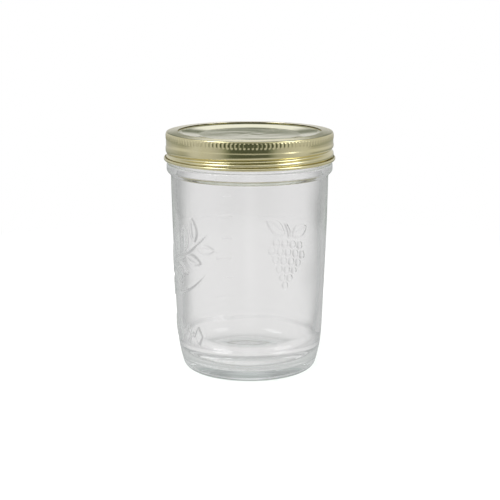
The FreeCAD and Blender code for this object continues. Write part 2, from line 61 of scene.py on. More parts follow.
MOUTH_R, NECK_R, THREAD_R, RIM_ROUND = 38.2, 41.3, 42.7, 1.3
BODY_TOP_R, BODY_TOP, FOOT_R, FOOT = 40.9, 102.6, 38.2, 20.7
BEAD_R, BEAD_TOP = 43.05, 109.0
HEEL_R, BEARING_R, BEARING_INNER_R = 4.6, 30.7, 28.9
BASE_STEP_R, BASE_STEP, BASE_DOME = 27.1, 0.9, 2.4
FLOOR_EDGE_R, FLOOR_EDGE, FLOOR_CROWN = 28.06, 5.6, 6.1
WALL_TOP_R, WALL_FOOT_R, WALL_FOOT = 38.15, 35.1, 18.4
SIDE_ARC, FOOT_ARC = 2600.0, 72.15

PITCH, GROOVE_DATUM, RIDGE_LIFT = 5.08, 110.25, 1.6
BAND_R, BAND_OPENING_R, BAND_CORNER = 43.3, 37.2, 0.65
ZONE_LOW, ZONE_HIGH, BELLY, GROOVE = 112.4, 120.0, 0.25, 1.4
HEM_LOW, HEM_HIGH, HEM_BEND, LIP_BEND = 110.6, 112.3, 0.45, 0.35
RIBS, RIB_LOW, RIB_HIGH, RIB_DEPTH = 132, 121.6, 124.3, 0.17
LID_R, LID_CORNER, CHANNEL_R, PANEL_R = 42.4, 0.8, 35.6, 26.0

# Raised decoration: how proud it stands, the radius it is laid out on, and the side each part faces, degrees.
RELIEF = 0.45
WRAP_R = 40.2
FRONT, BACK, SIDE = -90.0, 122.0, 180.0
DRESSED_LOW, DRESSED_HIGH = 12, 99
OUTER_WALL_R = 35

# Mould seams: the sides they run down and their width, degrees, and how proud they stand.
MOULD_SEAMS = (-172.0, 8.0)
SEAM_WIDTH, SEAM_PROUD = 0.55, 0.09
STIPPLE_DOTS, STIPPLE_DEPTH = 118, 0.10
# The white enamel under the lid ends here.
ENAMEL_R = 41.9

# ---------------------------------------------------------------- small helpers


def smooth(x):
    x = np.clip(x, 0.0, 1.0)
    return x * x * (3 - 2 * x)


def line(start, end, count):
    """Points from start to end, without start."""
    share = np.linspace(0, 1, count + 1)[1:, None]
    return np.array(start) + share * (np.array(end) - np.array(start))


def arc(start, end, radius, turn, count):
    """Points of the short arc from start to end, turning left (1) or right (-1), without start."""
    start, end = np.array(start, float), np.array(end, float)
    chord = end - start
    length = np.hypot(*chord)
    side = np.array([-chord[1], chord[0]]) / length * turn
    centre = (start + end) / 2 + side * math.sqrt(max(radius**2 - (length / 2) ** 2, 0))
    first = math.atan2(*(start - centre)[::-1])
    sweep = 2 * math.asin(min(1.0, length / 2 / radius)) * turn
    angles = first + sweep * np.linspace(0, 1, count + 1)[1:]
    return centre + radius * np.stack([np.cos(angles), np.sin(angles)], 1)


def trace(start, *moves):
    """A polyline through line and arc moves, each (end, count) or (end, count, radius, turn)."""
    points = [np.array([start], float)]
    for end, count, *bend in moves:
        here = points[-1][-1]
        points.append(arc(here, end, *bend, count) if bend else line(here, end, count))
    return np.concatenate(points)


def wave(theta, z, count, size, seed):
    """Smooth noise over angle (degrees) and height (mm), about -1 to 1, that joins up round the axis."""
    draw = np.random.default_rng(seed)
    total = np.zeros(np.broadcast(theta, z).shape)
    for _ in range(count):
        lobes = draw.integers(1, 7)
        climb = draw.normal(0, 1 / size)
        total += np.sin(np.radians(lobes * theta) + 2 * math.pi * climb * z + draw.uniform(0, 2 * math.pi))
    return total / math.sqrt(count)


def lathe(name, radius, height, theta, body, node, closed=False):
    """A smooth mesh from radius and height arrays, one row per section point and one column per angle.

    An open section starts and ends on the axis, where its rows shrink to single vertices.
    """
    rows, columns = radius.shape
    angle = np.radians(theta)[None, :]
    co = np.stack([radius * np.cos(angle), radius * np.sin(angle), height + 0 * angle], 2)
    area = np.sum(radius[:, 0] * np.roll(height[:, 0], -1) - np.roll(radius[:, 0], -1) * height[:, 0])
    index = np.arange(rows * columns).reshape(rows, columns)
    right = np.roll(index, -1, axis=1)
    if closed:
        lower, upper = index, np.roll(index, -1, axis=0)
        lower_right, upper_right = right, np.roll(right, -1, axis=0)
    else:
        lower, upper, lower_right, upper_right = index[1:-2], index[2:-1], right[1:-2], right[2:-1]
    quads = np.stack([lower, lower_right, upper_right, upper], 2).reshape(-1, 4)
    co = co.reshape(-1, 3)
    triangles = np.zeros((0, 3), int)
    if not closed:
        start, end = index[0, 0], index[-1, 0]
        fan_low = np.stack([np.full(columns, start), right[1], index[1]], 1)
        fan_high = np.stack([np.full(columns, end), index[-2], right[-2]], 1)
        triangles = np.concatenate([fan_low, fan_high])
    if area < 0:
        quads, triangles = quads[:, ::-1], triangles[:, ::-1]
    used = np.unique(np.concatenate([quads.ravel(), triangles.ravel()]))
    renumber = np.full(len(co), -1)
    renumber[used] = np.arange(len(used))
    mesh = bpy.data.meshes.new(name)
    mesh.vertices.add(len(used))
    mesh.vertices.foreach_set("co", (co[used] * MM).astype(np.float32).ravel())
    loops = np.concatenate([renumber[quads].ravel(), renumber[triangles].ravel()])
    starts = np.concatenate([np.arange(len(quads)) * 4, len(quads) * 4 + np.arange(len(triangles)) * 3])
    mesh.loops.add(len(loops))
    mesh.loops.foreach_set("vertex_index", loops.astype(np.int32))
    mesh.polygons.add(len(starts))
    mesh.polygons.foreach_set("loop_start", starts.astype(np.int32))
    mesh.update(calc_edges=True)
    mesh.validate()
    mesh.polygons.foreach_set("use_smooth", np.ones(len(mesh.polygons), bool))
    piece = bpy.data.objects.new(name, mesh)
    bpy.context.scene.collection.objects.link(piece)
    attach(piece, body)
    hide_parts(node)
    return piece


def offset(radius, height, distance):
    """The section moved to the right of its travel, by the normal at each point."""
    along_r, along_z = np.gradient(radius, axis=0), np.gradient(height, axis=0)
    length = np.hypot(along_r, along_z)
    return radius + distance * along_z / length, height - distance * along_r / length


def helix_turns(theta):
    """The same angles as counted on each of the turns that may cross a height."""
    return [np.mod(theta, 360) + 360 * turn for turn in range(-1, 3)]


def run(turned, start, end, fade):
    return smooth((turned - start) / fade) * smooth((end - turned) / fade)


# ---------------------------------------------------------------- raised decoration


class Motif:
    """Heights, 0 to 1, of raised shapes around one side of the jar, over arc length u and height z."""

    def __init__(self, theta, z, facing):
        turned = np.mod(theta - facing + 180, 360) - 180
        self.u = (np.radians(turned) * WRAP_R)[None, :] + 0 * z
        self.z = z + 0 * self.u
        self.height = np.zeros(self.u.shape)

    def add(self, depth, softness=0.55):
        """Raises what lies inside a shape. depth is the distance inside its outline, negative outside."""
        self.height = np.maximum(self.height, smooth(depth / softness + 0.5))

    def leaf(self, u, z, length, width, angle):
        c, s = math.cos(math.radians(angle)), math.sin(math.radians(angle))
        along = (self.u - u) * c + (self.z - z) * s
        across = -(self.u - u) * s + (self.z - z) * c
        share = along / length
        half = width / 2 * (1 - np.clip((share - 0.45) / np.where(share < 0.45, 0.45, 0.55), -2, 2) ** 2)
        vein = 0.45 * np.exp(-((across / 0.42) ** 2)) * smooth(share * 6) * smooth((0.9 - share) * 6)
        raised = smooth((half - np.abs(across)) / 0.6 + 0.5)
        self.height = np.maximum(self.height, raised * (1 - vein))

    def ribbon(self, points, width):
        points = np.array(points, float)
        chord = np.concatenate([[0], np.cumsum(np.hypot(*np.diff(points, axis=0).T))])
        steps = np.linspace(0, chord[-1], 40)
        path = np.stack([spline(chord, points[:, k], steps) for k in (0, 1)], 1)
        depth = np.full(self.u.shape, -9.0)
        for share, (u, z) in zip(np.linspace(0, 1, len(path)), path):
            half = width / 2 * (0.35 + 0.65 * math.sin(math.pi * share) ** 0.5)
            depth = np.maximum(depth, half - np.hypot(self.u - u, self.z - z))
        self.add(depth)

    def dot(self, u, z, radius, domed=False):
        reach = np.hypot(self.u - u, self.z - z)
        if domed:
            dome = np.sqrt(np.clip(1 - (reach / (radius + 0.15)) ** 2, 0, 1))
            self.height = np.maximum(self.height, 1.25 * dome)
        else:
            self.add(radius - reach)

    def bar(self, u, z, length, height):
        along = length / 2 - np.abs(self.u - u - length / 2)
        self.add(np.minimum(along, height / 2 - np.abs(self.z - z)))

    def diamond(self, u, z, width, height):
        across, up = np.abs(self.u - u) / (width / 2), np.abs(self.z - z) / (height / 2)
        self.add((1 - across - up) * width / 2 * 0.88)


def spline(knots, values, at):
    """Natural cubic interpolation of values at the knots."""
    n = len(knots)
    gaps = np.diff(knots)
    system, right = np.eye(n), np.zeros(n)
    for i in range(1, n - 1):
        system[i, i - 1 : i + 2] = gaps[i - 1], 2 * (gaps[i - 1] + gaps[i]), gaps[i]
        right[i] = 6 * ((values[i + 1] - values[i]) / gaps[i] - (values[i] - values[i - 1]) / gaps[i - 1])
    bend = np.linalg.solve(system, right)
    i = np.clip(np.searchsorted(knots, at) - 1, 0, n - 2)
    a, b, g = knots[i + 1] - at, at - knots[i], gaps[i]
    cubic = (bend[i] * a**3 + bend[i + 1] * b**3) / (6 * g)
    return cubic + (values[i] / g - bend[i] * g / 6) * a + (values[i + 1] / g - bend[i + 1] * g / 6) * b


def decoration(theta, z):
    """Raised height, 0 to about 1, of all the jar's decoration at the given angles and heights."""
    front = Motif(theta, z, FRONT)
    front.ribbon([(-25, 46.3), (-14, 52.7), (-2, 60.1), (10, 66.1), (24, 77.0)], 1.7)
    sprig = [
        (-19, 49.7, 68, -42),
        (-10, 55.2, 72, -30),
        (-1, 60.6, 80, -22),
        (9, 65.6, 92, -12),
        (17, 71.0, 98, 0),
    ]
    for u, height, above, below in sprig:
        front.leaf(u - 0.6, height + 1.4, 12.5, 5.4, above)
        front.leaf(u + 0.8, height - 1.5, 11.0, 5.0, below)
    front.ribbon([(-21, 37.9), (-9, 40.8), (4, 44.8), (14, 49.2), (22, 55.7)], 1.5)
    front.dot(-23.4, 37.4, 1.5)
    for place in range(-2, 3):
        front.diamond(8.6 * place, 23.0, 5.6, 10.2)
    for place in (-1.5, -0.5, 0.5, 1.5):
        front.dot(8.6 * place, 23.0, 1.1)
    back = Motif(theta, z, BACK)
    for row, count in enumerate((4, 5, 4, 3, 2, 1)):
        for place in range(count):
            back.dot(5.6 * (place - (count - 1) / 2), 59.0 - 4.85 * row, 2.3, domed=True)
    back.ribbon([(0, 62.9), (0.6, 66.4), (2.6, 69.9)], 1.5)
    back.leaf(-1.8, 63.9, 13.0, 7.0, 148)
    back.leaf(3.0, 63.9, 13.0, 7.0, 30)
    side = Motif(theta, z, SIDE)
    for step in range(1, 9):
        side.bar(-5.0, 5.6 + 11.2 * step, 9.0 if step % 2 == 0 else 5.0, 0.95)
    return np.maximum(np.maximum(front.height, back.height), side.height)


# ---------------------------------------------------------------- glass jar


def jar_angles():
    """Column angles, close together where the decoration is."""
    spans = [
        (-138, -50, 0.66),
        (-50, 94, 3.0),
        (94, 150, 0.9),
        (150, 170, 3.0),
        (170, 192, 0.8),
        (192, 222, 3.0),
    ]
    angles = []
    for start, end, step in spans:
        count = round((end - start) / step)
        angles.append(np.arange(0, count) * (end - start) / count + start)
    return np.concatenate(angles)


def build_jar():
    heel = (35.099, 3.255)
    outer = trace(
        (0, BASE_DOME),
        ((BASE_STEP_R, BASE_STEP), 10, 245.6, -1),
        ((28.0, 0.45), 3, 2.2, -1),
        ((BEARING_INNER_R, 0), 3, 2.2, 1),
        ((BEARING_R, 0), 4),
        (heel, 10, HEEL_R, 1),
        ((FOOT_R, FOOT), 24, FOOT_ARC, 1),
        ((BODY_TOP_R, BODY_TOP), 150, SIDE_ARC, 1),
        ((41.193, 103.307), 4, 1.0, -1),
        ((42.406, 104.52), 3),
        ((BEAD_R, 106.076), 5, 2.2, 1),
        ((BEAD_R, 108.1), 2),
        ((42.15, BEAD_TOP), 5, 0.9, 1),
        ((41.8, BEAD_TOP), 1),
        ((NECK_R, 109.5), 4, 0.5, -1),
        ((NECK_R, 110.6), 2),
        ((NECK_R, 122.0), 44),
        ((NECK_R, RIM - RIM_ROUND), 2),
        ((NECK_R - RIM_ROUND, RIM), 6, RIM_ROUND, 1),
        ((MOUTH_R + RIM_ROUND, RIM), 1),
    )
    inner = trace(
        (MOUTH_R + RIM_ROUND, RIM),
        ((MOUTH_R, RIM - RIM_ROUND), 6, RIM_ROUND, 1),
        ((MOUTH_R, BEAD_TOP), 5),
        ((WALL_TOP_R, BODY_TOP), 3),
        ((WALL_FOOT_R, WALL_FOOT), 26, SIDE_ARC, -1),
        ((FLOOR_EDGE_R, FLOOR_EDGE), 9, 8.16, -1),
        ((0, FLOOR_CROWN), 9, 787.6, 1),
    )[1:]
    theta = jar_angles()
    section = np.concatenate([outer, inner])
    radius = np.repeat(section[:, :1], len(theta), axis=1)
    height = np.repeat(section[:, 1:], len(theta), axis=1)
    rows = slice(0, len(outer))
    z = height[rows]

    raised = np.zeros(z.shape)
    on_side = outer[:, :1] > OUTER_WALL_R
    dressed = (outer[:, 1] > DRESSED_LOW) & (outer[:, 1] < DRESSED_HIGH) & on_side[:, 0]
    raised[dressed] = decoration(theta, z[dressed])
    radius[rows] += RELIEF * raised

    thread = np.zeros(z.shape)
    necks = (outer[:, 1] > 110.5) & (outer[:, 1] < 122.1) & (outer[:, 0] < 41.5)
    for turned in helix_turns(theta):
        off = z[necks] - GROOVE_DATUM - RIDGE_LIFT - PITCH * turned[None, :] / 360
        thread[necks] += run(turned, 40, 560, 35) * smooth((1.25 - np.abs(off)) / 0.85)
    radius[rows] += (THREAD_R - NECK_R) * thread

    seam = np.zeros(len(theta))
    for facing in MOULD_SEAMS:
        off = np.mod(theta - facing + 180, 360) - 180
        seam = np.maximum(seam, np.exp(-((off / SEAM_WIDTH) ** 2)))
    on_wall = smooth((z - 5) / 3) * smooth((BEAD_TOP - z) / 1) * on_side
    radius[rows] += SEAM_PROUD * seam[None, :] * on_wall

    wavy = smooth((z - 10) / 12) * smooth((100 - z) / 8) * on_side
    radius[rows] += 0.035 * wave(theta[None, :], z, 9, 45, 3) * wavy
    inside = slice(len(outer), len(section))
    z = height[inside]
    wavy = smooth((z - 8) / 14) * smooth((108 - z) / 10)
    radius[inside] += 0.11 * wave(theta[None, :], z, 12, 60, 5) * wavy * (radius[inside] > 30)

    ring = (outer[:, 1] < 1e-6)[:, None]
    ring = ring * (radius[rows] < BEARING_R - 0.1) * (radius[rows] > BEARING_INNER_R + 0.1)
    stipple = 0.5 + 0.5 * np.sin(np.radians(theta * STIPPLE_DOTS))
    height[rows] += STIPPLE_DEPTH * ring * stipple
    return lathe("jar_glass", radius, height, theta, "jar", "glass_jar")


# ---------------------------------------------------------------- sheet metal


def walk(x, z, heading, *moves):
    """The visible face of a folded sheet, from (x, z) in the direction heading, degrees.

    A move is (x, z, count) for a line to a point, or ("bend", radius, new heading, count).
    """
    points = [np.array([[x, z]], float)]
    for move in moves:
        here = points[-1][-1]
        if move[0] == "bend":
            _, radius, target, count = move
            turn = 1 if target > heading else -1
            steps = np.radians(heading + (target - heading) * np.linspace(0, 1, count + 1)[1:])
            start = math.radians(heading)
            x_path = here[0] + turn * radius * (np.sin(steps) - math.sin(start))
            z_path = here[1] + turn * radius * (math.cos(start) - np.cos(steps))
            points.append(np.stack([x_path, z_path], 1))
            heading = target
        else:
            points.append(line(here, move[:2], move[2]))
    return np.concatenate(points)


def build_band():
    sprung, slope = 0.2, 3.3
    corner_r = BAND_R - BAND_CORNER * (1 - math.sin(math.radians(slope)))
    shoulder = BAND_TOP + sprung - (corner_r - BAND_OPENING_R) * math.tan(math.radians(slope))
    path = walk(
        BAND_OPENING_R,
        BAND_TOP + sprung,
        -slope,
        (BAND_OPENING_R + 0.12, BAND_TOP + sprung - 0.007, 1),
        (corner_r, shoulder, 6),
        ("bend", BAND_CORNER, -90, 7),
        (BAND_R, RIB_HIGH, 1),
        (BAND_R, RIB_HIGH - 0.35, 2),
        (BAND_R, RIB_LOW + 0.35, 3),
        (BAND_R, RIB_LOW, 2),
        (BAND_R, ZONE_HIGH, 2),
        (BAND_R, ZONE_LOW, 36),
        (BAND_R, HEM_LOW + HEM_BEND + SHEET, 2),
        ("bend", HEM_BEND, 90, 8),
        (BAND_R + 2 * HEM_BEND, HEM_HIGH - LIP_BEND - SHEET, 2),
        ("bend", LIP_BEND, 180, 5),
    )
    columns = RIBS * 6
    theta = np.arange(columns) * 360 / columns
    radius = np.repeat(path[:, :1], columns, axis=1)
    height = np.repeat(path[:, 1:], columns, axis=1)
    wall = np.abs(path[:, 0] - BAND_R) < 1e-6

    zone = wall & (path[:, 1] > ZONE_LOW - 0.01) & (path[:, 1] < ZONE_HIGH + 0.01)
    z = height[zone]
    edge = smooth((z - ZONE_LOW) / 1.2) * smooth((ZONE_HIGH - z) / 1.7)
    change = BELLY + 0 * z
    for turned in helix_turns(theta):
        off = z - GROOVE_DATUM - PITCH * turned[None, :] / 360
        change = change - GROOVE * run(turned, 170, 660, 150) * np.exp(-(off**2))
    radius[zone] += edge * change
    dents = 0.02 * wave(theta[None, :], height, 10, 30, 11)
    radius += dents * smooth((radius - 40) / 3)
    height += 0.012 * wave(theta[None, :], 6 * radius, 8, 25, 13)
    hidden_r, hidden_z = offset(radius, height, SHEET)

    ribbed = wall & (path[:, 1] < RIB_HIGH + 0.01) & (path[:, 1] > RIB_LOW - 0.01)
    z = height[ribbed]
    ends = smooth((z - RIB_LOW) / 0.35) * smooth((RIB_HIGH - z) / 0.35)
    rib = np.tile([0.0, 0.75, 1.0, 0.75, 0.0, 0.0], RIBS)[None, :]
    wear = 1 + 0.12 * np.repeat(rng.normal(0, 1, RIBS), 6)[None, :]
    radius[ribbed] += RIB_DEPTH * rib * ends * wear
    radius = np.concatenate([radius, hidden_r[::-2]])
    height = np.concatenate([height, hidden_z[::-2]])
    return lathe("band_tinplate", radius, height, theta, "band", "screw_band", closed=True)


def build_lid():
    border, step, turn_r, step_r, dish = 5.5, 50, 5.0, 0.5, 0.25
    b, s = math.radians(border), math.radians(step)
    border_start = PANEL_R + turn_r * math.sin(b)
    border_end = CHANNEL_R - step_r * (2 * math.sin(s) - math.sin(b))
    border_top = LID_TOP - step_r * (1 + math.cos(b) - 2 * math.cos(s))
    panel = border_top - (border_end - border_start) * math.tan(b) - turn_r * (1 - math.cos(b))
    path = walk(
        0,
        panel,
        0,
        (PANEL_R, panel, 22),
        ("bend", turn_r, border, 4),
        (border_end, border_top, 12),
        ("bend", step_r, step, 6),
        ("bend", step_r, 0, 6),
        (LID_R - LID_CORNER, LID_TOP, 6),
        ("bend", LID_CORNER, -90, 7),
        (LID_R, LID_TOP - 2.2, 4),
    )
    columns = 288
    theta = np.arange(columns) * 360 / columns
    radius = np.repeat(path[:, :1], columns, axis=1)
    height = np.repeat(path[:, 1:], columns, axis=1)
    height -= 0.04 + dish * smooth(1 - radius / CHANNEL_R)
    flat = smooth((34 - radius) / 3) * smooth(radius / 4)
    height += 0.02 * wave(theta[None, :], 2 * radius, 10, 50, 17) * flat
    hidden_r, hidden_z = offset(radius, height, SHEET)
    hidden_r[0] = 0
    radius = np.concatenate([radius, hidden_r[::-1]])
    height = np.concatenate([height, hidden_z[::-1]])
    return lathe("lid_tinplate", radius, height, theta, "lid", "lid_disc")


def build_seal():
    top, outside = LID_TOP - SHEET, LID_R - SHEET
    corner, lip, inside = LID_CORNER - SHEET, 0.35, 36.9
    crown_in, crown_out = MOUTH_R + RIM_ROUND * 0.55, NECK_R - RIM_ROUND * 0.45
    path = trace(
        (inside, top),
        ((inside, RIM + 0.1), 2),
        ((inside + 0.1, RIM), 2, 0.1001, 1),
        ((inside + lip, RIM - lip), 3),
        ((crown_in - lip, RIM - lip), 4),
        ((crown_in, RIM), 3),
        ((crown_out, RIM), 5),
        ((crown_out + lip, RIM - lip), 3),
        ((outside, RIM - lip), 2),
        ((outside, top - corner), 2),
        ((outside - corner, top), 5, corner, 1),
        ((inside + 0.01, top), 6),
    )
    columns = 240
    theta = np.arange(columns) * 360 / columns
    radius = np.repeat(path[:, :1], columns, axis=1)
    height = np.repeat(path[:, 1:], columns, axis=1)
    soft = (radius < 38.6) & (height < top - 0.05)
    radius += 0.06 * wave(theta[None, :], height, 10, 20, 19) * soft
    return lathe("seal_compound", radius, height, theta, "lid", "sealing_ring", closed=True)


# ---------------------------------------------------------------- materials


class Nodes:
    """A short way to write a node tree."""

    def __init__(self, tree):
        self.tree = tree
        tree.nodes.clear()

    def add(self, kind, inputs=None, **settings):
        node = self.tree.nodes.new(kind)
        for key, value in settings.items():
            setattr(node, key, value)
        for key, value in (inputs or {}).items():
            socket = node.inputs[key]
            if isinstance(value, bpy.types.NodeSocket):
                self.tree.links.new(value, socket)
            else:
                socket.default_value = value
        return node

    def maths(self, operation, *values, clamp=False):
        node = self.add("ShaderNodeMath", dict(enumerate(values)), operation=operation, use_clamp=clamp)
        return node.outputs[0]

    def mix_colour(self, share, first, second, blend="MIX"):
        node = self.add("ShaderNodeMix", data_type="RGBA", blend_type=blend)
        for socket, value in ((node.inputs[0], share), (node.inputs[6], first), (node.inputs[7], second)):
            if isinstance(value, bpy.types.NodeSocket):
                self.tree.links.new(value, socket)
            else:
                socket.default_value = value
        return node.outputs[2]

    def between(self, share, first, second):
        """A number from first to second, by share."""
        return self.add("ShaderNodeMix", {0: share, 2: first, 3: second}, data_type="FLOAT").outputs[0]

    def ramp(self, value, *stops):
        """A grey ramp through (position, brightness) stops."""
        node = self.add("ShaderNodeValToRGB", {0: value})
        points = node.color_ramp.elements
        points[0].position, points[1].position = stops[0][0], stops[-1][0]
        for position, _ in stops[1:-1]:
            points.new(position)
        for point, (_, shade) in zip(points, stops):
            point.color = (shade, shade, shade, 1)
        return node.outputs[0]

    def noise(self, where, scale, detail=3.0, roughness=0.5):
        settings = {"Vector": where, "Scale": scale, "Detail": detail, "Roughness": roughness}
        return self.add("ShaderNodeTexNoise", settings).outputs[0]

    def output(self, surface=None, volume=None, kind="ShaderNodeOutputMaterial"):
        node = self.add(kind)
        if surface is not None:
            self.tree.links.new(surface, node.inputs["Surface"])
        if volume is not None:
            self.tree.links.new(volume, node.inputs["Volume"])


def new_material(name):
    material = bpy.data.materials.new(name)
    material.use_nodes = True
    return material, Nodes(material.node_tree)


def place_of(n):
    """Object position in metres, and its distance from the axis in mm."""
    where = n.add("ShaderNodeTexCoord").outputs["Object"]
    parts = n.add("ShaderNodeSeparateXYZ", {0: where})
    x, y = parts.outputs[0], parts.outputs[1]
    reach = n.maths("SQRT", n.maths("ADD", n.maths("MULTIPLY", x, x), n.maths("MULTIPLY", y, y)))
    return where, n.maths("MULTIPLY", reach, 1000.0)


GLASS_TINT = (0.938, 0.936, 0.936, 1)
# Painted shade: the grey that the glass colour takes at grazing angles, for dark outlines at its edges and
# relief.
GLASS_GRAZING_SHADE = (0.70, 0.72, 0.72, 1)
# Light that has gone on for longer, or been mirrored more often, counts as trapped in the glass.
LONGEST_PATH, MOST_MIRRORINGS, ROOM_LIGHT = 7.5, 2.5, 0.85


def glass_material():
    """Faintly wavy glass, its colour greyed towards grazing angles as painted shade for dark outlines. Light
    trapped in it gets an even room light in place of black.
    """
    material, n = new_material("pressed_glass")
    where, _ = place_of(n)
    fine = n.noise(where, 900.0, 2.0)
    broad = n.noise(where, 55.0, 3.0, 0.55)
    ripple = n.maths("ADD", n.maths("MULTIPLY", fine, 0.12), broad)
    bump = n.add("ShaderNodeBump", {"Strength": 0.35, "Distance": 0.00008, "Height": ripple})
    facing = n.add("ShaderNodeLayerWeight", {"Blend": 0.5, "Normal": bump.outputs[0]}).outputs["Facing"]
    # Painted shade: the glass colour greys towards grazing angles, so edges and relief get dark outlines
    # whatever lies behind.
    edge = n.maths("POWER", facing, 3.0)
    colour = n.mix_colour(edge, GLASS_TINT, GLASS_GRAZING_SHADE)
    smudge = n.ramp(n.noise(where, 34.0, 5.0, 0.6), (0.45, 0.0), (0.75, 0.035))
    settings = {"Color": colour, "Roughness": smudge, "IOR": 1.52, "Normal": bump.outputs[0]}
    glass = n.add("ShaderNodeBsdfGlass", settings)
    clear = n.add("ShaderNodeBsdfTransparent", {"Color": (0.93, 0.95, 0.94, 1)})
    path = n.add("ShaderNodeLightPath")
    passing = n.maths("MAXIMUM", path.outputs["Is Shadow Ray"], path.outputs["Is Diffuse Ray"])
    shader = n.add("ShaderNodeMixShader", {0: passing, 1: glass.outputs[0], 2: clear.outputs[0]})
    tint = n.add("ShaderNodeVolumeAbsorption", {"Color": (0.86, 0.93, 0.91, 1), "Density": 6.0})
    long = n.maths("GREATER_THAN", path.outputs["Ray Depth"], LONGEST_PATH)
    trapped = n.maths("MAXIMUM", long, n.maths("GREATER_THAN", path.outputs["Glossy Depth"], MOST_MIRRORINGS))
    room = n.add("ShaderNodeEmission", {"Color": (0.98, 1.0, 0.98, 1), "Strength": ROOM_LIGHT})
    shader = n.add("ShaderNodeMixShader", {0: trapped, 1: shader.outputs[0], 2: room.outputs[0]})
    n.output(shader.outputs[0], tint.outputs[0])
    return material


BARE_STEEL, BARE_WIDTH, NO_CUT_EDGE = (0.78, 0.78, 0.76, 1), 0.06, 99.0


def gold_material(name, colour, worn, scratch_strength, cut_edge, polish):
    """Gold lacquer over bright tinplate, with fine scuffs, cloudy sheen and bare steel at its cut edge."""
    material, n = new_material(name)
    where, reach = place_of(n)
    cloud = n.noise(where, 38.0, 4.0, 0.6)
    grain = n.noise(where, 2600.0, 2.0, 0.6)
    stretched = n.add("ShaderNodeMapping", {"Vector": where, "Scale": (180.0, 180.0, 2400.0)}).outputs[0]
    drawn = n.noise(stretched, 1.0, 3.0, 0.65)
    tone = n.mix_colour(n.ramp(cloud, (0.35, 0.0), (0.7, 1.0)), colour, worn)
    tone = n.mix_colour(n.ramp(grain, (0.62, 0.0), (0.80, 0.35)), tone, (0.50, 0.46, 0.33, 1))
    bare = n.maths("LESS_THAN", n.maths("ABSOLUTE", n.maths("SUBTRACT", reach, cut_edge)), BARE_WIDTH)
    tone = n.mix_colour(bare, tone, BARE_STEEL)
    scuff = n.ramp(drawn, (0.55, 0.0), (0.72, 1.0))
    base = n.ramp(cloud, (0.3, polish), (0.75, 1.6 * polish))
    rough = n.maths("ADD", base, n.maths("MULTIPLY", scuff, 0.05 * scratch_strength))
    scratches = n.maths("MULTIPLY", drawn, 0.5 * scratch_strength)
    relief = n.maths("ADD", scratches, n.maths("MULTIPLY", grain, 0.35))
    bump = n.add("ShaderNodeBump", {"Strength": 0.16, "Distance": 0.00002, "Height": relief})
    metal = n.add(
        "ShaderNodeBsdfPrincipled",
        {
            "Base Color": tone,
            "Metallic": 1.0,
            "Roughness": rough,
            "Normal": bump.outputs[0],
            "Coat Weight": 0.25,
            "Coat Roughness": 0.05,
            "Coat IOR": 1.5,
            "Coat Tint": (1.0, 0.97, 0.86, 1),
        },
    )
    n.output(metal.outputs[0])
    return material


def enamel_material():
    """Off-white food-safe enamel under the lid disc."""
    material, n = new_material("white_enamel")
    where, _ = place_of(n)
    cloud = n.noise(where, 60.0, 4.0, 0.55)
    colour = n.mix_colour(cloud, (0.80, 0.79, 0.74, 1), (0.88, 0.87, 0.83, 1))
    peel = n.noise(where, 1500.0, 2.0)
    bump = n.add("ShaderNodeBump", {"Strength": 0.2, "Distance": 0.00004, "Height": peel})
    rough = n.ramp(cloud, (0.3, 0.24), (0.7, 0.34))
    settings = {"Base Color": colour, "Roughness": rough, "Normal": bump.outputs[0]}
    n.output(n.add("ShaderNodeBsdfPrincipled", settings).outputs[0])
    return material


def compound_material():
    """Soft grey-brown plastisol."""
    material, n = new_material("plastisol")
    where, _ = place_of(n)
    mottle = n.noise(where, 220.0, 5.0, 0.6)
    colour = n.mix_colour(mottle, (0.20, 0.155, 0.14, 1), (0.27, 0.21, 0.19, 1))
    bump = n.add("ShaderNodeBump", {"Strength": 0.35, "Distance": 0.00008, "Height": mottle})
    settings = {"Base Color": colour, "Roughness": 0.62, "Normal": bump.outputs[0], "Sheen Weight": 0.15}
    n.output(n.add("ShaderNodeBsdfPrincipled", settings).outputs[0])
    return material


# ---------------------------------------------------------------- studio


def mirror_ray(n):
    """1 for light that reaches the eye off a shiny surface, 0 for what is seen directly or through glass."""
    path = n.add("ShaderNodeLightPath")
    return n.maths("SUBTRACT", path.outputs["Is Glossy Ray"], path.outputs["Is Transmission Ray"], clamp=True)


def from_camera(n, ray):
    """The ray's three parts as the camera sees them: to the right, up and ahead."""
    settings = {"vector_type": "VECTOR", "convert_from": "WORLD", "convert_to": "CAMERA"}
    turned = n.add("ShaderNodeVectorTransform", {0: ray}, **settings)
    return n.add("ShaderNodeSeparateXYZ", {0: turned.outputs[0]}).outputs


CAMERA_TILT = 0.21


